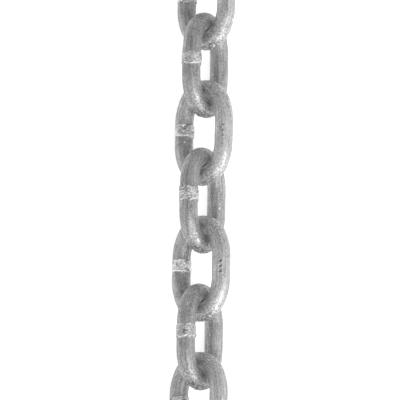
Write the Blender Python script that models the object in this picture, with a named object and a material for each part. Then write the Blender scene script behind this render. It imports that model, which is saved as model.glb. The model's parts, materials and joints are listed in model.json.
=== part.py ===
"""A length of galvanised steel link chain, laid out straight on a level floor.

Nine welded links lie along the Y axis, each turned a quarter turn from the one before.
Every link leans at 45 degrees to the floor, so each rests on the outer side of one leg.
The origin is on the floor, under the middle of the middle link.  Metres, +Z up.
"""

import math

import bmesh
import bpy
from mathutils import Matrix, Vector

# Driving dimensions of one link, in metres
WIRE_DIAMETER = 0.0100
INNER_LENGTH = 0.0370
OUTER_WIDTH = 0.0359
CROWN_RADIUS = 0.0114
LEG_STRAIGHT_HALF = 0.0058
LEG_FLAT_HALF = 0.0050

# The butt weld in one leg is a low swollen band, a little past the leg's middle
WELD_RISE = 0.0004
WELD_LENGTH = 0.0066
WELD_RAMP = 0.0008
WELD_OFFSET = 0.0016

# The run of chain
LINK_COUNT = 9
CONTACT_GAP = 0.0003
LINK_LEAN = math.radians(45.0)

# How finely the round shapes are faceted
WIRE_SIDES = 16
CROWN_STEPS = 5
LEG_STEPS = 2

COLLECTION_NAME = "steel_link_chain"
ZINC_COLOUR = (0.55, 0.56, 0.57, 1.0)
ZINC_METALLIC = 0.85
ZINC_ROUGHNESS = 0.55

# Sizes that follow from the driving dimensions
WIRE_RADIUS = WIRE_DIAMETER / 2
CENTRE_HALF_LENGTH = (INNER_LENGTH + WIRE_DIAMETER) / 2
CENTRE_HALF_WIDTH = (OUTER_WIDTH - WIRE_DIAMETER) / 2
LINK_SPACING = INNER_LENGTH - CONTACT_GAP
CHAIN_AXIS_HEIGHT = CENTRE_HALF_WIDTH * math.sin(LINK_LEAN) + WIRE_RADIUS
WELD_LOW = WELD_OFFSET - WELD_LENGTH / 2
WELD_HIGH = WELD_OFFSET + WELD_LENGTH / 2


def clear_scene():
    """Remove whatever the open file holds."""
    for item in list(bpy.data.objects):
        bpy.data.objects.remove(item, do_unlink=True)


def galvanised_steel():
    """Dull grey zinc coating."""
    material = bpy.data.materials.new("galvanised_steel")
    material.use_nodes = True
    shader = material.node_tree.nodes["Principled BSDF"]
    shader.inputs["Base Color"].default_value = ZINC_COLOUR
    shader.inputs["Metallic"].default_value = ZINC_METALLIC
    shader.inputs["Roughness"].default_value = ZINC_ROUGHNESS
    return material


def quarter_outline():
    """Wire's centre line over a quarter of the link: a shallow leg arc, then the crown's arc.

    The leg arc starts where the straight leg ends and meets the crown's arc at a tangent.
    """
    rise = CENTRE_HALF_LENGTH - LEG_STRAIGHT_HALF - CROWN_RADIUS
    step_in = CENTRE_HALF_WIDTH - CROWN_RADIUS
    leg_radius = (step_in * step_in + rise * rise) / (2 * step_in) + CROWN_RADIUS
    leg_centre = Vector((CENTRE_HALF_WIDTH - leg_radius, LEG_STRAIGHT_HALF))
    crown_centre = Vector((0.0, CENTRE_HALF_LENGTH - CROWN_RADIUS))
    meeting_angle = math.atan2(rise, leg_radius - CENTRE_HALF_WIDTH)
    leg = arc_points(leg_centre, leg_radius, 0.0, meeting_angle, LEG_STEPS)
    crown = arc_points(crown_centre, CROWN_RADIUS, meeting_angle, math.pi / 2, CROWN_STEPS)
    return leg + crown[1:]


def arc_points(centre, radius, start, end, steps):
    """Points along an arc, both ends included."""
    points = []
    for step in range(steps + 1):
        angle = start + (end - start) * step / steps
        points.append(centre + Vector((math.cos(angle), math.sin(angle))) * radius)
    return points


def link_stations():
    """Points round the wire's closed centre line, as (x, y, rise of the weld)."""
    quarter = quarter_outline()
    upper_right = [(p.x, p.y, 0.0) for p in quarter]
    upper_left = [(-p.x, p.y, 0.0) for p in reversed(quarter[:-1])]
    lower_left = [(-p.x, -p.y, 0.0) for p in quarter]
    lower_right = [(p.x, -p.y, 0.0) for p in reversed(quarter[:-1])]
    weld = [
        (-CENTRE_HALF_WIDTH, WELD_HIGH, 0.0),
        (-CENTRE_HALF_WIDTH, WELD_HIGH - WELD_RAMP, WELD_RISE),
        (-CENTRE_HALF_WIDTH, WELD_LOW + WELD_RAMP, WELD_RISE),
        (-CENTRE_HALF_WIDTH, WELD_LOW, 0.0),
    ]
    plain_leg = [
        (CENTRE_HALF_WIDTH, -LEG_FLAT_HALF, 0.0),
        (CENTRE_HALF_WIDTH, LEG_FLAT_HALF, 0.0),
    ]
    return upper_right + upper_left + weld + lower_left + lower_right + plain_leg


def link_curve():
    """The link's wire as a closed curve in the XY plane, its weld on the -X leg.

    The wire is drawn with flats that lie on its round surface.  A flat faces every eighth
    of a turn, so the leaning link has one level with the floor.
    """
    flats_outside = 1 / math.cos(math.pi / WIRE_SIDES)
    curve = bpy.data.curves.new("link_wire", "CURVE")
    curve.dimensions = "3D"
    curve.bevel_depth = WIRE_RADIUS
    curve.bevel_resolution = (WIRE_SIDES - 4) // 2
    stations = link_stations()
    spline = curve.splines.new("POLY")
    spline.points.add(len(stations) - 1)
    spline.use_cyclic_u = True
    for point, (x, y, rise) in zip(spline.points, stations):
        point.co = (x, y, 0.0, 1.0)
        point.radius = (1 + rise / WIRE_RADIUS) * flats_outside
        point.tilt = math.pi / WIRE_SIDES
    return curve


def link_mesh(name):
    """The link's wire as a mesh."""
    curve = link_curve()
    guide = bpy.data.objects.new("link_wire", curve)
    bpy.context.scene.collection.objects.link(guide)
    evaluated = guide.evaluated_get(bpy.context.evaluated_depsgraph_get())
    data = bpy.data.meshes.new_from_object(evaluated)
    data.name = name
    bpy.data.objects.remove(guide)
    bpy.data.curves.remove(curve)
    data.shade_smooth()
    return data


def set_weld_inwards(data):
    """Move the weld's band towards the middle of the link.

    Its underside is then level with the leg, so a link whose weld is underneath lies flat.
    """
    shift = WELD_RISE / math.sin(LINK_LEAN)
    mesh = bmesh.new()
    mesh.from_mesh(data)
    band = []
    for vertex in mesh.verts:
        on_welded_leg = vertex.co.x < 0
        in_band = WELD_LOW < vertex.co.y - WELD_RAMP / 2 < WELD_HIGH - WELD_RAMP
        if on_welded_leg and in_band:
            band.append(vertex)
    bmesh.ops.translate(mesh, verts=band, vec=(shift, 0.0, 0.0))
    mesh.to_mesh(data)
    mesh.free()


def place_links():
    """Lay the links along Y, leaning right and left in turn, the middle one at the origin."""
    collection = bpy.data.collections.new(COLLECTION_NAME)
    bpy.context.scene.collection.children.link(collection)
    material = galvanised_steel()
    weld_on_top = link_mesh("link_weld_on_top")
    weld_underneath = link_mesh("link_weld_underneath")
    set_weld_inwards(weld_underneath)
    weld_on_top.materials.append(material)
    weld_underneath.materials.append(material)
    middle = (LINK_COUNT - 1) // 2
    for index in range(LINK_COUNT):
        weld_is_on_top = index % 2 == 0
        data = weld_on_top if weld_is_on_top else weld_underneath
        lean = LINK_LEAN if weld_is_on_top else -LINK_LEAN
        place = Matrix.Translation((0.0, (index - middle) * LINK_SPACING, CHAIN_AXIS_HEIGHT))
        link = bpy.data.objects.new(f"link_{index + 1:02d}", data)
        link.matrix_world = place @ Matrix.Rotation(lean, 4, "Y")
        collection.objects.link(link)


def main():
    clear_scene()
    place_links()


main()
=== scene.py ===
"""Looks of a length of galvanised steel link chain, laid straight on a pale floor.

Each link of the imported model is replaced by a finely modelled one: round wire bent to an oval,
butt welded in one leg and hot-dip galvanised.  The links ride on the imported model's bodies.
"""

import json
import math
import random

import bmesh
import bpy
from bpy.props import FloatProperty, FloatVectorProperty, IntProperty, PointerProperty
from bpy.types import Operator, Panel, PropertyGroup
from mathutils import Matrix, Vector, noise


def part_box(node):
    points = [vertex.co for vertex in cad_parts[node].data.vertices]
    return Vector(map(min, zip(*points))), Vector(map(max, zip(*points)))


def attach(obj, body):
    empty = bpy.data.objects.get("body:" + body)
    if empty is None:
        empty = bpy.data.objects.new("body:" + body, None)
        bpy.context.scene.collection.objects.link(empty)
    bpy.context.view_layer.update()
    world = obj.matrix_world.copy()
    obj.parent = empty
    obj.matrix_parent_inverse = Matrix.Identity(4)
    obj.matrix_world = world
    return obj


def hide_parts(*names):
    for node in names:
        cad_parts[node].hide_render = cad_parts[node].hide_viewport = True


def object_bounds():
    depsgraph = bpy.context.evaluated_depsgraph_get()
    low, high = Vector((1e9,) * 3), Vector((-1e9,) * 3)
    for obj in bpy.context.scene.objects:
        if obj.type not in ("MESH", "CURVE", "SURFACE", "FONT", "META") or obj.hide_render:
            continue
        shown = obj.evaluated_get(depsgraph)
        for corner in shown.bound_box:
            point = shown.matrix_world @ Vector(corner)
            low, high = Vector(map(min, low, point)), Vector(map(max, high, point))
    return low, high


bl_info = {
    "name": "Galvanised Link Chain",
    "version": (1, 0, 0),
    "blender": (4, 5, 0),
    "location": "View3D > Sidebar > Chain",
    "description": "Finely modelled links of galvanised steel chain on a studio floor",
    "category": "Add Mesh",
}

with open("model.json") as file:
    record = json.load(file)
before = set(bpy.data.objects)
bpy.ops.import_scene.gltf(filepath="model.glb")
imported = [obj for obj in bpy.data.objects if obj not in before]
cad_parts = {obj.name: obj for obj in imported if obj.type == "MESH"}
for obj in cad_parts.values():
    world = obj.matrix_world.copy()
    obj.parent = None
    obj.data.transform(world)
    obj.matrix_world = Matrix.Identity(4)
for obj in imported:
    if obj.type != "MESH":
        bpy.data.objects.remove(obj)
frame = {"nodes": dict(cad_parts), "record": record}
CAD_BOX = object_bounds()

LINK_NODES = sorted(frame["nodes"])
BODY_OF_NODE = {
    node: body
    for body, nodes in frame["record"]["behaviour"]["bodies"].items()
    for node in nodes
}
UP = Vector((0.0, 0.0, 1.0))
WHITE = (1.0, 1.0, 1.0, 1.0)

# Links whose plain leg is punched, and how hard
PUNCHED_LINKS = {"link_04": 1.0, "link_06": 0.55}

# Links with a clear run of zinc beside the beads, and its angle round the wire in degrees
ZINC_RUNS = {"link_07": 58.0, "link_02": 40.0, "link_04": 66.0}

# Links whose weld took more zinc, and how much brighter it is
BRIGHT_WELDS = {"link_04": 0.22, "link_05": 0.06}

# Below, lengths are in metres, and a SCALE is how many waves of a noise there are in a metre.
# A START moves a noise along, so that two noises at one place aren't alike.  A SPAN is where a
# smooth change starts and where it is complete: a distance, or for the breaks in the ridges a
# noise's value.  Round the wire it is the cosine of the angle, which is 1 on the link's outer
# side and -1 on its inner side.

# Each link reads its noise further on than the one before, so that no two have the same marks
MARKS_START = 0.11
MARKS_STEP = 0.37

# The weld's ends wander round the wire: shares of half its length, each with its noise's scale,
# and what keeps the two ends of a weld, and the welds of two links, from wandering alike
WELD_WANDER = ((0.36, 1.3), (0.22, 4.1))
WELD_ENDS_APART = 3.0
WELD_LINKS_APART = 90
WELD_EDGE_SPAN = (-0.0003, 0.0004)

# The lip at the weld's ends: how far in it stands, its width, the noise that makes it patchy, and
# how much of it there is at the upper end
LIP_INSIDE = 0.0004
LIP_WIDTH = 0.00035
LIP_PATCH_SCALE = 330
LIP_MEAN = 0.55
LIP_PATCHINESS = 1.7
LIP_UPPER_SHARE = 0.4
# How strongly the lip is painted light, as a highlight along its edge
LIP_PAINTED_LIGHT = 0.8

# Ridges and grooves run where a bent noise, drawn out round the wire, passes a level.  They
# break off where another noise is low.
RIDGE_SCALES = (240, 240, 900)
RIDGE_BEND_SCALE = 300
RIDGE_BEND_START = 9
RIDGE_BEND = 2.0
RIDGE_LEVEL = 0.12
GROOVE_LEVEL = -0.08
RIDGE_SHARPNESS = 6
RIDGE_BREAK_SCALE = 380
RIDGE_BREAK_START = 5
RIDGE_BREAK_SPAN = (-0.35, 0.30)
# How strongly the ridges are painted light and the grooves painted shade
RIDGE_PAINTED_SHADING = 0.8
GROOVE_SHARE = 0.6

# Lumps of the weld: how close, how narrow, and how strong where the ridges break off.  Where the
# ridges run, the lumps are weaker by 1.
LUMP_SCALE = 1000
LUMP_SHARPNESS = 1.5
LUMP_STRENGTH = 1.3
# How strongly the lumps are painted light
LUMP_PAINTED_LIGHT = 0.7

# The weld swells more on the link's inner side.  One that lies underneath doesn't swell on the
# outer side.
SWELL_OUTER_SPAN = (-0.4, 0.7)
SWELL_INNER_SPAN = (0.1, -0.9)
SWELL_INNER_SHARE = 0.9

# Zinc beads under a lower bow: the length of their band, where one can lie in its column, their
# rows round the wire in degrees, their radii, their shares of the full height, and how far from
# its middle one still counts
BEAD_BAND = 0.0150
BEAD_PLACES = (0.05, 0.95)
BEAD_FIRST_ROW = -14
BEAD_ROW_STEP = 21
BEAD_ROW_STRAY = 8
BEAD_RADII = (0.00034, 0.00062)
BEAD_HEIGHTS = (0.35, 1.0)
BEAD_REACH = 0.0015

# The rough patch that the beads stand in: how far it can reach, how it fades, its grit, and how
# dark the painted shade in the gaps between the beads is
PATCH_HALF = 0.009
PATCH_FACING = 0.2
PATCH_ALONG_SPAN = (0.0085, 0.0065)
PATCH_ROUND_SPAN = (0.62, 0.84)
GRIT_SCALE = 1500
GRIT_HEIGHT = 0.00007
GAP_MEAN = 0.9
GAP_GRIT = 0.5
GAP_COVER = 1.6

# A run of zinc: half its length, its width, its slant, how its ends fade and how bright it is
RUN_HALF = 0.0045
RUN_WIDTH = 0.00048
RUN_SLANT = 0.03
RUN_END_SPAN = (0.0042, 0.0026)
RUN_BRIGHTER = 0.35

# Painted shade below a weld that lies underneath: its length, its ragged end and its darkness
WELD_SHADE_LENGTH = 0.010
WELD_SHADE_END_SPAN = (0.009, 0.003)
WELD_SHADE_RAGGED = 0.003
WELD_SHADE_SCALE = 300
WELD_SHADE_ROUND_SPAN = (0.6, -0.1)
WELD_SHADE_DARKER = 0.18

# Where a leg turns into a bow, and where a bow's inside is rubbed and painted light over its shade
BOW_SPAN = (0.015, 0.009)
RUBBED_AND_LIT_ALONG_SPAN = (0.012, 0.006)
RUBBED_AND_LIT_ROUND_SPAN = (-0.2, -0.8)

# Punched dots: their angle round the wire, half the patch they lie in, their spacing and radius,
# how steep their sides are, the lip round each in shares of its depth and radius, and how dark
# the painted shade in a pit is
DOT_ANGLE = math.radians(62)
DOTS_HALF_LENGTH = 0.006
DOTS_HALF_WIDTH = 0.003
DOT_SPACING = 0.0028
DOT_RADIUS = 0.0008
DOT_STEEPNESS = 4
DOT_LIP_SHARE = 0.4
DOT_LIP_PLACE = 1.4
DOT_LIP_WIDTH = 0.3
DOT_PAINTED_SHADE = 0.6

# Unevenness of the coat: soft waves, and shares of lumps and of lines along the wire.  It is
# sunk a little, so that the coat hardly stands out past the bare wire.
COAT_SCALE = 190
COAT_LUMP_SCALE = 820
COAT_LUMP_SHARE = 0.35
COAT_LINE_SCALES = (1500, 1500, 90)
COAT_LINE_SHARE = 0.30
COAT_SUNK = 0.6

# Links differ a little in tone besides the light and dark ones in turn
TONE_DRIFT = 0.02
TONE_DRIFT_STEP = 5.1

# In the shader: how two noises are drawn out along the wire, and between which levels a noise
# brings in painted glints, clean zinc, pale crust and gloss
LINE_STRETCH = (1.0, 1.0, 0.045)
GLINT_STRETCH = (1.0, 1.0, 0.5)
GLINT_LEVELS = (0.79, 0.86)
COAT_LEVELS = (0.39, 0.61)
CRUST_LEVELS = (0.28, 0.72)
CRUST_PALER = 0.06
GLOSS_LEVELS = (0.36, 0.64)
# How dark the painted shade between the beads is
GAP_DARKNESS = 0.75
BUMP_HEIGHT = 0.00010

# The floor lies a little under the chain, so that no two faces lie in one place
FLOOR_DROP = 0.0001
FLOOR_ROUGHNESS = 0.9
FLOOR_GLOSS = 0.1

# How high in the sky the light starts to dim and where it is dimmest, 1 straight above
OVERHEAD_LEVELS = (0.55, 0.95)

CAMERA_NEAREST = 0.1
CAMERA_FARTHEST = 100.0


class LinkShape(PropertyGroup):
    """Sizes of one bare link and how finely it is modelled."""

    wire_diameter: FloatProperty(
        name="Wire", description="Diameter of the round wire", default=0.010, unit="LENGTH"
    )
    inner_length: FloatProperty(
        name="Inner length", description="Length inside the link", default=0.037, unit="LENGTH"
    )
    outer_width: FloatProperty(
        name="Outer width", description="Width over the legs", default=0.0359, unit="LENGTH"
    )
    bow_radius: FloatProperty(
        name="Bow radius",
        description="Radius of the wire's centre line round the bow",
        default=0.0114,
        unit="LENGTH",
    )
    straight_half: FloatProperty(
        name="Straight",
        description="Half the length of the straight stretch of a leg",
        default=0.0058,
        unit="LENGTH",
    )
    lean: FloatProperty(
        name="Lean",
        description="Angle of each link to the floor",
        default=math.radians(45.0),
        subtype="ANGLE",
    )
    wire_sides: IntProperty(name="Sides", description="Faces round the wire", default=80, min=12)
    ring_step: FloatProperty(
        name="Ring step",
        description="Distance between the rings of faces along the wire",
        default=0.00040,
        unit="LENGTH",
    )
    fine_ring_step: FloatProperty(
        name="Fine ring step",
        description="The same at the weld, the punched dots and the beads",
        default=0.00022,
        unit="LENGTH",
    )


class ZincRelief(PropertyGroup):
    """What the weld, the galvanising and the punch leave on the wire."""

    weld_rise: FloatProperty(
        name="Weld rise", description="Height of the weld's band", default=0.00020, unit="LENGTH"
    )
    weld_length: FloatProperty(
        name="Weld length", description="Length of the weld's band", default=0.0068, unit="LENGTH"
    )
    weld_offset: FloatProperty(
        name="Weld offset",
        description="From the leg's middle to the weld's",
        default=0.0016,
        unit="LENGTH",
    )
    ridge_height: FloatProperty(
        name="Weld ridges",
        description="Height of the torn ridges that run round the weld",
        default=0.00036,
        unit="LENGTH",
    )
    lump_height: FloatProperty(
        name="Weld lumps", description="Height of the weld's lumps", default=0.00024, unit="LENGTH"
    )
    rim_height: FloatProperty(
        name="Weld rim",
        description="Height of the lip at the weld's ends",
        default=0.00030,
        unit="LENGTH",
    )
    coat_wave: FloatProperty(
        name="Coat wave",
        description="Unevenness of the zinc coat",
        default=0.00006,
        unit="LENGTH",
    )
    bead_height: FloatProperty(
        name="Bead height",
        description="Height of the zinc beads on a lower bow",
        default=0.00062,
        unit="LENGTH",
    )
    bead_columns: IntProperty(
        name="Bead columns", description="Zinc beads side by side along a lower bow", default=14
    )
    bead_rows: IntProperty(
        name="Bead rows", description="Rows of zinc beads round a lower bow", default=3
    )
    run_height: FloatProperty(
        name="Run height",
        description="Height of a zinc run along a lower bow",
        default=0.00022,
        unit="LENGTH",
    )
    punch_depth: FloatProperty(
        name="Punch depth",
        description="Depth of the punched dots",
        default=0.00045,
        unit="LENGTH",
    )


class ZincFinish(PropertyGroup):
    """Colours and gloss of the zinc coat."""

    coat_colour: FloatVectorProperty(
        name="Coat", description="Colour of the coat", subtype="COLOR", default=(0.50, 0.50, 0.50)
    )
    dull_colour: FloatVectorProperty(
        name="Dull patches",
        description="Colour of the coat's dull patches",
        subtype="COLOR",
        default=(0.23, 0.23, 0.23),
    )
    weld_colour: FloatVectorProperty(
        name="Weld",
        description="Colour of the zinc on the weld",
        subtype="COLOR",
        default=(0.78, 0.78, 0.78),
    )
    # Painted shade in the gaps between the zinc beads under the bows
    bead_gap_shade_colour: FloatVectorProperty(
        name="Dross",
        description="Colour between the beads under the bows",
        subtype="COLOR",
        default=(0.10, 0.10, 0.10),
    )
    # Partly the coat rubbed by the next link, partly painted light over the shade where links meet
    rubbed_and_painted_light_colour: FloatVectorProperty(
        name="Rubbed",
        description="Colour of the coat where the next link rubs it bright",
        subtype="COLOR",
        default=(0.74, 0.74, 0.74),
    )
    # Painted shade on the welded leg and painted light on the plain one
    painted_leg_shading: FloatProperty(
        name="Welded leg darker",
        description="How much darker the coat is on the welded leg and lighter on the plain one",
        default=0.085,
    )
    link_tone: FloatProperty(
        name="Links differ",
        description="How much lighter or darker than the middle tone one link's coat is",
        default=0.087,
    )
    metallic: FloatProperty(
        name="Metallic", description="How much the coat shines as metal does", default=0.8
    )
    shine: FloatProperty(
        name="Smoothest", description="Roughness of the coat where it is smoothest", default=0.43
    )
    dullness: FloatProperty(
        name="Roughest", description="Roughness of the coat where it is roughest", default=0.74
    )


class StudioStage(PropertyGroup):
    """The floor, the light and the camera."""

    floor_size: FloatProperty(
        name="Floor", description="Side of the square floor", default=60.0, unit="LENGTH"
    )
    floor_colour: FloatVectorProperty(
        name="Floor colour",
        description="Colour of the floor",
        subtype="COLOR",
        default=(0.74, 0.74, 0.74),
    )
    floor_glow: FloatProperty(
        name="Floor glow", description="Light that comes up through the floor", default=0.68
    )
    sky_light: FloatProperty(
        name="Room light", description="Strength of the light from all round", default=0.50
    )
    sky_right: FloatProperty(
        name="Right side brighter",
        description="How much brighter the light from the right is, and dimmer from the left",
        default=0.33,
    )
    sky_far: FloatProperty(
        name="Far side brighter",
        description="How much brighter the light from the high end is, and dimmer from the low end",
        default=0.44,
    )
    sky_overhead: FloatProperty(
        name="Overhead dimmer",
        description="How much less light comes from straight above",
        default=0.27,
    )
    key_light: FloatProperty(
        name="Key light", description="Strength of the light from the near right", default=2.7
    )
    key_from: FloatVectorProperty(
        name="Key from",
        description="Where the key light comes from",
        subtype="DIRECTION",
        default=(0.384, -0.548, 0.743),
    )
    key_softness: FloatProperty(
        name="Key softness",
        description="How wide the key light is in the sky",
        default=math.radians(58),
        subtype="ANGLE",
    )
    low_light: FloatProperty(
        name="Low light", description="Strength of the low light from the near end", default=0.9
    )
    low_from: FloatVectorProperty(
        name="Low light from",
        description="Where the low light comes from",
        subtype="DIRECTION",
        default=(0.347, -0.860, 0.375),
    )
    low_softness: FloatProperty(
        name="Low light softness",
        description="How wide the low light is in the sky",
        default=math.radians(46),
        subtype="ANGLE",
    )
    fill_light: FloatProperty(
        name="Fill light", description="Strength of the light from the left", default=1.1
    )
    fill_from: FloatVectorProperty(
        name="Fill from",
        description="Where the fill light comes from",
        subtype="DIRECTION",
        default=(-0.765, -0.441, 0.469),
    )
    fill_softness: FloatProperty(
        name="Fill softness",
        description="How wide the fill light is in the sky",
        default=math.radians(64),
        subtype="ANGLE",
    )
    lens: FloatProperty(name="Lens", description="Focal length in mm", default=515.65)
    distance: FloatProperty(
        name="Distance",
        description="From the middle link to the camera",
        default=3.061,
        unit="LENGTH",
    )
    turn: FloatProperty(
        name="Turn",
        description="Camera's turn round the chain, to the left of straight above",
        default=math.radians(9.756),
        subtype="ANGLE",
    )
    pitch: FloatProperty(
        name="Pitch",
        description="Camera's lean along the chain, towards its low end",
        default=math.radians(8.752),
        subtype="ANGLE",
    )
    roll: FloatProperty(
        name="Roll",
        description="Turn of the picture about the camera's own axis",
        default=math.radians(-1.143),
        subtype="ANGLE",
    )
    off_right: FloatProperty(
        name="Chain to the right",
        description="How far the chain lies right of the picture's middle",
        default=0.001418,
        unit="LENGTH",
    )
    off_up: FloatProperty(
        name="Chain up",
        description="How far the middle link lies above the picture's middle",
        default=-0.000156,
        unit="LENGTH",
    )


class WirePath:
    """Centre line of a link: straight legs, shallow leg arcs and round bows, in the XY plane."""

    def __init__(self, shape):
        self.radius = shape.wire_diameter / 2
        self.half_length = (shape.inner_length + shape.wire_diameter) / 2
        self.half_width = (shape.outer_width - shape.wire_diameter) / 2
        self.bow_radius = shape.bow_radius
        self.straight_half = shape.straight_half
        rise = self.half_length - self.straight_half - self.bow_radius
        step_in = self.half_width - self.bow_radius
        self.leg_radius = (step_in**2 + rise**2) / (2 * step_in) + self.bow_radius
        self.leg_centre = self.half_width - self.leg_radius
        self.bow_centre = self.half_length - self.bow_radius
        self.meeting_angle = math.atan2(rise, self.leg_radius - self.half_width)
        self.bow_start = self.straight_half + self.leg_radius * self.meeting_angle
        self.quarter = self.bow_start + self.bow_radius * (math.pi / 2 - self.meeting_angle)

    def unbend(self, point):
        """Outward direction at a point of the wire, its distance outward and along the wire.

        The distance along runs from 0 in the middle of the welded leg (at -X) up that leg,
        round the upper bow at one quarter, down the plain leg and back round the lower bow.
        """
        x, y = abs(point.x), abs(point.y)
        if y <= self.straight_half:
            angle = 0.0
            out = x - self.half_width
            along = y
        else:
            arm = Vector((x - self.leg_centre, y - self.straight_half))
            angle = math.atan2(arm.y, arm.x)
            if angle <= self.meeting_angle:
                out = arm.length - self.leg_radius
                along = self.straight_half + self.leg_radius * angle
            else:
                arm = Vector((x, y - self.bow_centre))
                angle = math.atan2(arm.y, arm.x)
                out = arm.length - self.bow_radius
                along = self.bow_start + self.bow_radius * (angle - self.meeting_angle)
        outward = Vector((math.cos(angle), math.sin(angle), 0.0))
        outward.x = math.copysign(outward.x, point.x)
        outward.y = math.copysign(outward.y, point.y)
        if point.x > 0:
            along = 2 * self.quarter - along
        if point.y < 0:
            along = 4 * self.quarter - along
        return outward, out, along

    def from_weld_leg(self, distance):
        """Distance along the wire from the welded leg's middle, negative down that leg."""
        return distance if distance <= 2 * self.quarter else distance - 4 * self.quarter


def carry_round(mesh, ring, centre, angle, radius, step):
    """Carry the open end of the wire round an arc, and give its new end."""
    steps = max(2, round(angle * radius / step))
    made = bmesh.ops.spin(
        mesh, geom=ring, cent=centre, axis=UP, angle=angle, steps=steps, use_merge=False
    )
    return made["geom_last"]


def carry_straight(mesh, ring, length, step):
    """Carry the open end of the wire straight along Y, and give its new end."""
    steps = max(2, round(abs(length) / step))
    move = (0.0, length / steps, 0.0)
    made = bmesh.ops.spin(
        mesh, geom=ring, cent=(0.0, 0.0, 0.0), axis=UP, dvec=move, angle=0.0, steps=steps
    )
    return made["geom_last"]


def bend_wire(mesh, path, shape, punched):
    """Sweep a circle round the link, up the plain leg and down the welded one."""
    start = Matrix.Translation((path.half_width, -path.straight_half, 0.0))
    start = start @ Matrix.Rotation(math.pi / 2, 4, "X")
    bmesh.ops.create_circle(
        mesh, cap_ends=False, segments=shape.wire_sides, radius=path.radius, matrix=start
    )
    ring = mesh.verts[:] + mesh.edges[:]
    coarse, fine = shape.ring_step, shape.fine_ring_step
    plain_leg_step = fine if punched else coarse
    leg_sweep = path.meeting_angle
    bow_sweep = math.pi - 2 * leg_sweep
    for side, leg_step, bow_step in ((1, plain_leg_step, coarse), (-1, fine, fine)):
        leg_end = side * path.straight_half
        near = (side * path.leg_centre, leg_end, 0.0)
        bow = (0.0, side * path.bow_centre, 0.0)
        far = (-side * path.leg_centre, leg_end, 0.0)
        ring = carry_straight(mesh, ring, 2 * leg_end, leg_step)
        ring = carry_round(mesh, ring, near, leg_sweep, path.leg_radius, coarse)
        ring = carry_round(mesh, ring, bow, bow_sweep, path.bow_radius, bow_step)
        ring = carry_round(mesh, ring, far, leg_sweep, path.leg_radius, coarse)
    closing_distance = fine / 20
    bmesh.ops.remove_doubles(mesh, verts=mesh.verts, dist=closing_distance)
    bmesh.ops.recalc_face_normals(mesh, faces=mesh.faces)


def smooth_step(start, end, value):
    """0 up to the start, 1 from the end on, and a smooth change between them."""
    share = min(1.0, max(0.0, (value - start) / (end - start)))
    return share * share * (3 - 2 * share)


def hump(off, width):
    """1 in the middle of a rounded hump, and almost 0 from twice its width on."""
    return math.exp(-((off / width) ** 2))


def line_at(level, value):
    """1 where a noise passes a level, and 0 a little to either side."""
    return max(0.0, 1 - RIDGE_SHARPNESS * abs(value - level))


def scaled(place, scales):
    """A place with each of its axes scaled."""
    return Vector((place.x * scales[0], place.y * scales[1], place.z * scales[2]))


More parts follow.
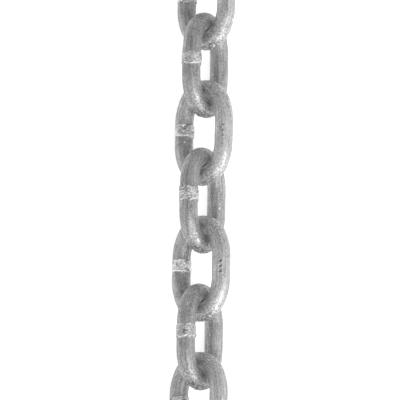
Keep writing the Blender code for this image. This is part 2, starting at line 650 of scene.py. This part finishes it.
class LinkSurface:
    """How far one link's surface stands out from the bare wire, and what its coat is like.

    A place on it is given by its distance along the wire, its angle round the wire, 0 on the
    link's outer side, and as a point of the straight wire, which the noises read.
    """

    def __init__(self, path, relief, node, weld_is_on_top):
        self.path = path
        self.relief = relief
        self.weld_is_on_top = weld_is_on_top
        self.marks_from = MARKS_START + MARKS_STEP * LINK_NODES.index(node)
        self.punch = PUNCHED_LINKS.get(node, 0.0)
        self.run_angle = math.radians(ZINC_RUNS[node]) if node in ZINC_RUNS else None
        self.bright_weld = BRIGHT_WELDS.get(node, 0.0)
        self.draw = random.Random(node)
        self.beads = []
        for column in range(relief.bead_columns):
            for row in range(relief.bead_rows):
                self.beads.append(self.drawn_bead(column, row))

    def drawn_bead(self, column, row):
        """One bead: its place along and round the wire, its radius and its height."""
        draw = self.draw
        spacing = BEAD_BAND / self.relief.bead_columns
        in_band = (column + draw.uniform(*BEAD_PLACES)) * spacing
        along = in_band - BEAD_BAND / 2 - self.path.quarter
        stray = draw.uniform(-BEAD_ROW_STRAY, BEAD_ROW_STRAY)
        angle = math.radians(BEAD_FIRST_ROW + BEAD_ROW_STEP * row + stray)
        radius = draw.uniform(*BEAD_RADII)
        return along, angle, radius, self.relief.bead_height * draw.uniform(*BEAD_HEIGHTS)

    def weld_end(self, off, angle):
        """Where the weld's band ends at an angle round the wire, from the weld's middle."""
        end = WELD_ENDS_APART if off > 0 else -WELD_ENDS_APART
        link = self.marks_from * WELD_LINKS_APART
        round_place = Vector((math.cos(angle), math.sin(angle), link + end))
        wander = sum(share * noise.noise(round_place * often) for share, often in WELD_WANDER)
        return self.relief.weld_length / 2 * (1 + wander)

    def weld_share(self, along, angle):
        """How much of the weld's band, and of the lip at its ends, lies at a place, 0 to 1."""
        off = along - self.relief.weld_offset
        if abs(off) > self.relief.weld_length:
            return 0.0, 0.0
        inside = self.weld_end(off, angle) - abs(off)
        return smooth_step(*WELD_EDGE_SPAN, inside), hump(inside - LIP_INSIDE, LIP_WIDTH)

    def weld_ridges(self, place):
        """Height of the weld's torn ridges, grooves and lumps, and their painted light and shade.
        """
        bend = noise.noise(place * RIDGE_BEND_SCALE + UP * RIDGE_BEND_START)
        fold = noise.noise(scaled(place, RIDGE_SCALES) + UP * (RIDGE_BEND * bend))
        unbroken = noise.noise(place * RIDGE_BREAK_SCALE + UP * RIDGE_BREAK_START)
        unbroken = smooth_step(*RIDGE_BREAK_SPAN, unbroken)
        ridge = line_at(RIDGE_LEVEL, fold) * unbroken
        groove = line_at(GROOVE_LEVEL, fold) * unbroken
        from_lump = noise.voronoi(place * LUMP_SCALE)[0][0]
        lump = max(0.0, 1 - LUMP_SHARPNESS * from_lump) * (LUMP_STRENGTH - unbroken)
        height = self.relief.ridge_height * (ridge - GROOVE_SHARE * groove)
        height += self.relief.lump_height * lump
        return height, RIDGE_PAINTED_SHADING * ridge + LUMP_PAINTED_LIGHT * lump - RIDGE_PAINTED_SHADING * groove

    def weld_swell(self, angle):
        """The band's rise; a weld on the underside is trimmed flush where it faces outwards."""
        outer = smooth_step(*SWELL_OUTER_SPAN, math.cos(angle))
        inner = smooth_step(*SWELL_INNER_SPAN, math.cos(angle))
        swell = self.relief.weld_rise * (1 + SWELL_INNER_SHARE * inner)
        if not self.weld_is_on_top:
            swell *= 1 - outer
        return swell

    def weld_lip(self, lip, along, place):
        """The patchy lip at the weld's ends, stronger at the lower one."""
        strong = 1.0 if along < self.relief.weld_offset else LIP_UPPER_SHARE
        patch = LIP_MEAN + LIP_PATCHINESS * noise.noise(place * LIP_PATCH_SCALE)
        return strong * lip * max(0.0, patch)

    def lower_bow(self, along, angle, place):
        """Height of the beads and grit on a lower bow's outside, and painted shade in their gaps.
        """
        from_middle = abs(along + self.path.quarter)
        facing = math.cos(angle)
        if from_middle > PATCH_HALF or facing < PATCH_FACING:
            return 0.0, 0.0
        height = 0.0
        cover = 0.0
        for bead_along, bead_angle, radius, tall in self.beads:
            off_along = along - bead_along
            if abs(off_along) < BEAD_REACH:
                off_round = (angle - bead_angle) * self.path.radius
                bead = math.exp(-(off_along**2 + off_round**2) / radius**2)
                height = max(height, tall * bead)
                cover = max(cover, bead)
        rough = smooth_step(*PATCH_ALONG_SPAN, from_middle) * smooth_step(*PATCH_ROUND_SPAN, facing)
        grit = noise.noise(place * GRIT_SCALE)
        gap = min(1.0, max(0.0, GAP_MEAN + GAP_GRIT * grit - GAP_COVER * cover))
        return height + GRIT_HEIGHT * rough * grit, rough * gap

    def zinc_run(self, along, angle):
        """How much of the run of zinc along the lower bow lies at a place, 0 to 1."""
        from_middle = abs(along + self.path.quarter)
        if self.run_angle is None or from_middle > RUN_HALF:
            return 0.0
        off = (angle - self.run_angle) * self.path.radius - RUN_SLANT * from_middle
        return hump(off, RUN_WIDTH) * smooth_step(*RUN_END_SPAN, from_middle)

    def painted_weld_shade(self, along, angle, place):
        """How much painted shade lies at a place below a weld that lies underneath, 0 to 1."""
        below = self.relief.weld_offset - self.relief.weld_length / 2 - along
        if self.weld_is_on_top or not 0 < below < WELD_SHADE_LENGTH:
            return 0.0
        ragged = WELD_SHADE_RAGGED * noise.noise(place * WELD_SHADE_SCALE)
        fade = smooth_step(*WELD_SHADE_END_SPAN, below + ragged)
        return fade * smooth_step(*WELD_SHADE_ROUND_SPAN, math.cos(angle))

    def bow_share(self, along):
        """How much of a place is bow and not leg: bending breaks up the lines of the drawn wire."""
        return smooth_step(*BOW_SPAN, abs(abs(along) - self.path.quarter))

    def rubbed_and_painted_light_share(self, along, angle):
        """How much of a place inside a bow is rubbed, and painted light over the shade there."""
        near_bow = smooth_step(*RUBBED_AND_LIT_ALONG_SPAN, abs(abs(along) - self.path.quarter))
        return near_bow * smooth_step(*RUBBED_AND_LIT_ROUND_SPAN, math.cos(angle))

    def punched_dots(self, along, angle):
        """Height of the punched dots in the plain leg, and how deep in a pit a place is, 0 to 1."""
        if not self.punch:
            return 0.0, 0.0
        from_middle = math.copysign(abs(along) - 2 * self.path.quarter, along)
        across = (angle - DOT_ANGLE) * self.path.radius
        if abs(from_middle) > DOTS_HALF_LENGTH or abs(across) > DOTS_HALF_WIDTH:
            return 0.0, 0.0
        height = 0.0
        pits = 0.0
        for dot in (-1, 0, 1):
            reach = math.hypot(from_middle - dot * DOT_SPACING, across) / DOT_RADIUS
            pit = math.exp(-(reach**DOT_STEEPNESS))
            lip = DOT_LIP_SHARE * hump(reach - DOT_LIP_PLACE, DOT_LIP_WIDTH)
            height += self.relief.punch_depth * self.punch * (lip - pit)
            pits += pit * self.punch
        return height, pits

    def coat_height(self, place):
        """Unevenness of the zinc coat: soft waves, small lumps and faint lines along the wire."""
        soft = noise.noise(place * COAT_SCALE)
        lumps = COAT_LUMP_SHARE * noise.noise(place * COAT_LUMP_SCALE)
        lines = COAT_LINE_SHARE * noise.noise(scaled(place, COAT_LINE_SCALES))
        return self.relief.coat_wave * (soft + lumps + lines - COAT_SUNK)

    def at(self, along, angle, place):
        """Height of the surface over the bare wire at a place, and what its coat is like."""
        share, lip = self.weld_share(along, angle)
        height, pits = self.punched_dots(along, angle)
        beads, gaps = self.lower_bow(along, angle, place)
        run = self.zinc_run(along, angle)
        painted_ridge_shading = 0.0
        height += beads + self.relief.run_height * run
        if share < 1:
            height += self.coat_height(place) * (1 - share)
        if share > 0:
            ridges, relief_shading = self.weld_ridges(place)
            lip = self.weld_lip(lip, along, place)
            # Painted highlights on the weld's ridges, lumps and lip, and painted shade in its
            # grooves
            painted_ridge_shading = max(-1.0, min(1.0, relief_shading + LIP_PAINTED_LIGHT * lip))
            ridges += self.relief.rim_height * lip
            height += (self.weld_swell(angle) + ridges) * share
        # A punched pit is painted darker, as shade in the dot
        tone = (1 - DOT_PAINTED_SHADE * pits) * (1 + RUN_BRIGHTER * run) * (1 + self.bright_weld * share)
        # Painted shade below a weld that lies underneath
        tone *= 1 - WELD_SHADE_DARKER * self.painted_weld_shade(along, angle, place)
        coat = {"tone": tone, "weld": share, "painted_ridge_shading": painted_ridge_shading, "bead_gap_shade": gaps}
        # Inside the bows: rubbed coat, and painted light over the shade where the links meet
        coat["rubbed"] = self.rubbed_and_painted_light_share(along, angle)
        coat["bow"] = self.bow_share(along)
        return height, coat


def coat_tone(path, finish, distance, link_number):
    """How much lighter or darker than usual the coat is at a place on a link."""
    turn = 2 * math.pi * distance / (4 * path.quarter)
    step = finish.link_tone if link_number % 2 else -finish.link_tone
    drift = TONE_DRIFT * math.sin(TONE_DRIFT_STEP * link_number)
    # Painted shade on the welded leg and painted light on the plain leg, besides each link's tone
    return math.exp(step + drift - finish.painted_leg_shading * math.cos(turn))


def shape_surface(mesh, path, surface, finish, link_number):
    """Raise the relief on a bent wire and note what each point of the coat is like."""
    straight_wire = mesh.verts.layers.float_vector.new("straight_wire")
    layers = {}
    for name in ("tone", "weld", "painted_ridge_shading", "bead_gap_shade", "rubbed", "bow"):
        layers[name] = mesh.verts.layers.float.new(name)
    for vertex in mesh.verts:
        outward, out, distance = path.unbend(vertex.co)
        angle = math.atan2(vertex.co.z, out)
        place = Vector((out, vertex.co.z, distance + surface.marks_from))
        height, coat = surface.at(path.from_weld_leg(distance), angle, place)
        coat["tone"] *= coat_tone(path, finish, distance, link_number)
        facing = (outward * out + UP * vertex.co.z) / path.radius
        vertex.co += facing * height
        vertex[straight_wire] = place
        for name, layer in layers.items():
            vertex[layer] = coat[name]


def lay_link(mesh, path, shape, node, weld_is_on_top):
    """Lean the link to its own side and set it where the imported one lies."""
    low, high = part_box(node)
    lean = shape.lean if weld_is_on_top else -shape.lean
    axis_height = path.half_width * math.sin(shape.lean) + path.radius
    middle = Vector((0.0, (low.y + high.y) / 2, axis_height))
    place = Matrix.Translation(middle) @ Matrix.Rotation(lean, 4, "Y")
    bmesh.ops.transform(mesh, matrix=place, verts=mesh.verts)


def keep_in_box(mesh, low, high):
    """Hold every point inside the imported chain's box."""
    for vertex in mesh.verts:
        for axis in range(3):
            vertex.co[axis] = min(max(vertex.co[axis], low[axis]), high[axis])


def make_link(context, node, material):
    """One finely modelled link in the place of a packed one."""
    scene = context.scene
    link_number = LINK_NODES.index(node)
    weld_is_on_top = link_number % 2 == 0
    path = WirePath(scene.link_shape)
    surface = LinkSurface(path, scene.zinc_relief, node, weld_is_on_top)
    mesh = bmesh.new()
    bend_wire(mesh, path, scene.link_shape, node in PUNCHED_LINKS)
    shape_surface(mesh, path, surface, scene.zinc_finish, link_number)
    lay_link(mesh, path, scene.link_shape, node, weld_is_on_top)
    keep_in_box(mesh, *CAD_BOX)
    data = bpy.data.meshes.new(f"galvanised_{node}")
    mesh.to_mesh(data)
    mesh.free()
    data.shade_smooth()
    data.materials.append(material)
    link = bpy.data.objects.new(f"galvanised_{node}", data)
    scene.collection.objects.link(link)
    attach(link, BODY_OF_NODE[node])
    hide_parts(node)


class NodeBench:
    """Short ways to add and join shader nodes."""

    def __init__(self, tree):
        self.tree = tree

    def add(self, kind, **settings):
        """A new node with the given settings."""
        node = self.tree.nodes.new(kind)
        for name, value in settings.items():
            setattr(node, name, value)
        return node

    def join(self, source, target):
        """Lead an output into an input."""
        self.tree.links.new(source, target)

    def attribute(self, name):
        """A number that the mesh holds at each point."""
        return self.add("ShaderNodeAttribute", attribute_name=name).outputs["Fac"]

    def stretch(self, vector, scale):
        """A vector with each of its axes scaled."""
        node = self.add("ShaderNodeMapping")
        node.inputs["Scale"].default_value = scale
        self.join(vector, node.inputs["Vector"])
        return node.outputs["Vector"]

    def noise(self, vector, scale, detail, roughness=0.5):
        """Soft noise, mostly between 0.3 and 0.7."""
        node = self.add("ShaderNodeTexNoise")
        node.inputs["Scale"].default_value = scale
        node.inputs["Detail"].default_value = detail
        node.inputs["Roughness"].default_value = roughness
        self.join(vector, node.inputs["Vector"])
        return node.outputs["Fac"]

    def spread(self, value, low, high, to_low=0.0, to_high=1.0):
        """A value's range from low to high, taken to another range and held inside it."""
        node = self.add("ShaderNodeMapRange")
        node.inputs["From Min"].default_value = low
        node.inputs["From Max"].default_value = high
        node.inputs["To Min"].default_value = to_low
        node.inputs["To Max"].default_value = to_high
        self.join(value, node.inputs["Value"])
        return node.outputs["Result"]

    def combine(self, operation, first, second):
        """Two values, each a number or a socket, put together by a Math node."""
        node = self.add("ShaderNodeMath", operation=operation)
        for socket, value in zip(node.inputs, (first, second)):
            if isinstance(value, (int, float)):
                socket.default_value = value
            else:
                self.join(value, socket)
        return node.outputs["Value"]

    def weigh(self, parts):
        """Sum of the given values, each times its weight."""
        total = 0.0
        for value, weight in parts:
            part = self.combine("MULTIPLY", value, weight)
            total = self.combine("ADD", part, total)
        return total

    def mix(self, share, first, second, blend="MIX"):
        """Two colours or sockets mixed by a share."""
        node = self.add("ShaderNodeMix", data_type="RGBA", blend_type=blend)
        sockets = {item.identifier: item for item in node.inputs}
        for name, value in (("Factor_Float", share), ("A_Color", first), ("B_Color", second)):
            if isinstance(value, (int, float, tuple)):
                sockets[name].default_value = value
            else:
                self.join(value, sockets[name])
        return next(item for item in node.outputs if item.identifier == "Result_Color")


def opaque(colour):
    """A colour as a shader's socket takes it."""
    return (*colour, 1.0)


def drawn_wire_marks(bench, wire_place, grains):
    """Lines that drawing left along the legs, which turn into grains round the bows."""
    along_wire = bench.stretch(wire_place, LINE_STRETCH)
    lines = bench.noise(along_wire, scale=1400.0, detail=2.0, roughness=0.6)
    return bench.mix(bench.attribute("bow"), lines, grains)


def coat_colour(bench, finish, blotches, drawn, grains):
    """Colour of the plain coat, from its dull patches to its clean zinc."""
    shade = bench.weigh(((blotches, 0.12), (drawn, 0.46), (grains, 0.42)))
    shade = bench.spread(shade, *COAT_LEVELS)
    return bench.mix(shade, opaque(finish.dull_colour), opaque(finish.coat_colour))


def weld_zinc_colour(bench, finish, place):
    """Colour of the weld's crusty zinc, with painted light on its crests and shade in its grooves.
    """
    crust = bench.noise(place, scale=1000.0, detail=4.0, roughness=0.6)
    # Painted light on the crests and painted shade in the grooves
    crust = bench.weigh(((crust, 0.75), (bench.attribute("painted_ridge_shading"), 0.40)))
    crust = bench.spread(bench.combine("ADD", crust, CRUST_PALER), *CRUST_LEVELS)
    return bench.mix(crust, opaque(finish.dull_colour), opaque(finish.weld_colour))


def marked_colour(bench, finish, wire_place, colour):
    """A colour with painted glints, painted shade between beads, and bows rubbed and painted light.
    """
    # Painted glints: small flecks of the weld's pale colour over the coat
    glint_place = bench.stretch(wire_place, GLINT_STRETCH)
    painted_glints = bench.spread(bench.noise(glint_place, scale=620.0, detail=0.0), *GLINT_LEVELS)
    # Painted shade in the gaps between the beads
    gaps = bench.combine("MULTIPLY", bench.attribute("bead_gap_shade"), GAP_DARKNESS)
    colour = bench.mix(painted_glints, colour, opaque(finish.weld_colour))
    colour = bench.mix(gaps, colour, opaque(finish.bead_gap_shade_colour))
    # Inside the bows: rubbed coat, and painted light over the shade where the links meet
    return bench.mix(bench.attribute("rubbed"), colour, opaque(finish.rubbed_and_painted_light_colour))


def toned_colour(bench, colour):
    """A colour made lighter or darker by the coat's tone at each point."""
    tone = bench.attribute("tone")
    grey = bench.add("ShaderNodeCombineXYZ")
    for socket in grey.inputs:
        bench.join(tone, socket)
    return bench.mix(1.0, colour, grey.outputs["Vector"], "MULTIPLY")


def galvanised_finish(finish):
    """Dull hot-dip zinc: soft mottling, faint lines along the wire, a pale crusty weld."""
    material = bpy.data.materials.new("hot_dip_zinc")
    material.use_nodes = True
    bench = NodeBench(material.node_tree)
    shader = material.node_tree.nodes["Principled BSDF"]
    place = bench.add("ShaderNodeTexCoord").outputs["Object"]
    wire = bench.add("ShaderNodeAttribute", attribute_name="straight_wire")
    wire_place = wire.outputs["Vector"]
    blotches = bench.noise(place, scale=260.0, detail=4.0, roughness=0.6)
    grains = bench.noise(place, scale=1150.0, detail=3.0, roughness=0.6)
    drawn = drawn_wire_marks(bench, wire_place, grains)

    coat = coat_colour(bench, finish, blotches, drawn, grains)
    weld_zinc = weld_zinc_colour(bench, finish, place)
    colour = bench.mix(bench.attribute("weld"), coat, weld_zinc)
    colour = marked_colour(bench, finish, wire_place, colour)
    bench.join(toned_colour(bench, colour), shader.inputs["Base Color"])

    gloss = bench.weigh(((blotches, 0.3), (grains, 0.7)))
    rough = bench.spread(gloss, *GLOSS_LEVELS, to_low=finish.dullness, to_high=finish.shine)
    bench.join(rough, shader.inputs["Roughness"])
    shader.inputs["Metallic"].default_value = finish.metallic

    bump = bench.add("ShaderNodeBump")
    bump.inputs["Strength"].default_value = 1.0
    bump.inputs["Distance"].default_value = BUMP_HEIGHT
    bench.join(bench.weigh(((grains, 0.6), (drawn, 0.4))), bump.inputs["Height"])
    bench.join(bump.outputs["Normal"], shader.inputs["Normal"])
    return material


def floor_paint(stage):
    """Plain dull paint that glows a little."""
    material = bpy.data.materials.new("floor_paint")
    material.use_nodes = True
    shader = material.node_tree.nodes["Principled BSDF"]
    shader.inputs["Base Color"].default_value = opaque(stage.floor_colour)
    shader.inputs["Roughness"].default_value = FLOOR_ROUGHNESS
    shader.inputs["Specular IOR Level"].default_value = FLOOR_GLOSS
    shader.inputs["Emission Color"].default_value = WHITE
    shader.inputs["Emission Strength"].default_value = stage.floor_glow
    return material


def lay_floor(stage):
    """A wide plain floor at the chain's underside."""
    mesh = bmesh.new()
    bmesh.ops.create_grid(mesh, x_segments=1, y_segments=1, size=stage.floor_size / 2)
    data = bpy.data.meshes.new("floor")
    mesh.to_mesh(data)
    mesh.free()
    data.materials.append(floor_paint(stage))
    floor = bpy.data.objects.new("floor", data)
    floor.location.z = -FLOOR_DROP
    bpy.context.scene.collection.objects.link(floor)


def hang_light(name, strength, from_direction, softness):
    """A soft light that comes evenly from one direction."""
    data = bpy.data.lights.new(name, "SUN")
    data.energy = strength
    data.angle = softness
    light = bpy.data.objects.new(name, data)
    light.rotation_mode = "QUATERNION"
    light.rotation_quaternion = Vector(from_direction).to_track_quat("Z", "Y")
    light.location = Vector(from_direction)
    bpy.context.scene.collection.objects.link(light)


def light_sky(stage):
    """Light from all round, brighter from the right and the far end and dimmer from above."""
    world = bpy.data.worlds.new("room")
    world.use_nodes = True
    bench = NodeBench(world.node_tree)
    background = world.node_tree.nodes["Background"]
    split = bench.add("ShaderNodeSeparateXYZ")
    bench.join(bench.add("ShaderNodeTexCoord").outputs["Generated"], split.inputs[0])
    right = bench.combine("MULTIPLY", split.outputs["X"], stage.sky_right)
    far = bench.combine("MULTIPLY", split.outputs["Y"], stage.sky_far)
    sides = bench.combine("ADD", bench.combine("ADD", right, far), stage.sky_light)
    overhead = bench.spread(split.outputs["Z"], *OVERHEAD_LEVELS, to_high=stage.sky_overhead)
    glow = bench.combine("MAXIMUM", bench.combine("SUBTRACT", sides, overhead), 0.0)
    bench.join(glow, background.inputs["Strength"])
    background.inputs["Color"].default_value = WHITE
    bpy.context.scene.world = world


def light_room(stage):
    """Light from all round, a key and a low light from the near right, a fill from the left."""
    light_sky(stage)
    hang_light("key_light", stage.key_light, stage.key_from, stage.key_softness)
    hang_light("low_light", stage.low_light, stage.low_from, stage.low_softness)
    hang_light("fill_light", stage.fill_light, stage.fill_from, stage.fill_softness)


def set_camera(stage):
    """A long lens over the chain, turned as the photograph's is."""
    low, high = CAD_BOX
    target = Vector((0.0, (low.y + high.y) / 2, (low.z + high.z) / 2))
    across = Vector((math.cos(stage.turn), 0.0, math.sin(stage.turn)))
    above = Vector((-math.sin(stage.turn), 0.0, math.cos(stage.turn)))
    along = Vector((0.0, 1.0, 0.0))
    top = math.cos(stage.pitch) * along + math.sin(stage.pitch) * above
    back = math.cos(stage.pitch) * above - math.sin(stage.pitch) * along
    right = math.cos(stage.roll) * across - math.sin(stage.roll) * top
    up = math.sin(stage.roll) * across + math.cos(stage.roll) * top
    place = target + back * stage.distance - right * stage.off_right - up * stage.off_up
    data = bpy.data.cameras.new("camera")
    data.lens = stage.lens
    data.clip_start = CAMERA_NEAREST
    data.clip_end = CAMERA_FARTHEST
    camera = bpy.data.objects.new("camera", data)
    turned = Matrix((right, up, back)).transposed().to_4x4()
    camera.matrix_world = Matrix.Translation(place) @ turned
    bpy.context.scene.collection.objects.link(camera)
    bpy.context.scene.camera = camera


class CHAIN_OT_galvanised_links(Operator):
    """Model every link of the chain in galvanised steel"""

    bl_idname = "chain.galvanised_links"
    bl_label = "Galvanised links"

    def execute(self, context):
        material = galvanised_finish(context.scene.zinc_finish)
        for node in LINK_NODES:
            make_link(context, node, material)
        return {"FINISHED"}


class CHAIN_OT_studio_stage(Operator):
    """Lay the floor, hang the lights and set the camera"""

    bl_idname = "chain.studio_stage"
    bl_label = "Studio stage"

    def execute(self, context):
        stage = context.scene.studio_stage
        context.scene.view_settings.view_transform = "Standard"
        lay_floor(stage)
        light_room(stage)
        set_camera(stage)
        return {"FINISHED"}


class VIEW3D_PT_link_chain(Panel):
    """Sizes and finishes of the chain, and the buttons that make it"""

    bl_label = "Link chain"
    bl_space_type = "VIEW_3D"
    bl_region_type = "UI"
    bl_category = "Chain"

    def draw(self, context):
        scene = context.scene
        for group in (scene.link_shape, scene.zinc_relief, scene.zinc_finish, scene.studio_stage):
            box = self.layout.box()
            for name in group.__annotations__:
                box.prop(group, name)
        self.layout.operator(CHAIN_OT_galvanised_links.bl_idname)
        self.layout.operator(CHAIN_OT_studio_stage.bl_idname)


CLASSES = (
    LinkShape,
    ZincRelief,
    ZincFinish,
    StudioStage,
    CHAIN_OT_galvanised_links,
    CHAIN_OT_studio_stage,
    VIEW3D_PT_link_chain,
)


def register():
    for item in CLASSES:
        bpy.utils.register_class(item)
    bpy.types.Scene.link_shape = PointerProperty(type=LinkShape)
    bpy.types.Scene.zinc_relief = PointerProperty(type=ZincRelief)
    bpy.types.Scene.zinc_finish = PointerProperty(type=ZincFinish)
    bpy.types.Scene.studio_stage = PointerProperty(type=StudioStage)


def unregister():
    del bpy.types.Scene.studio_stage
    del bpy.types.Scene.zinc_finish
    del bpy.types.Scene.zinc_relief
    del bpy.types.Scene.link_shape
    for item in reversed(CLASSES):
        bpy.utils.unregister_class(item)


def main():
    register()
    bpy.ops.chain.galvanised_links()
    bpy.ops.chain.studio_stage()


if __name__ == "__main__":
    main()
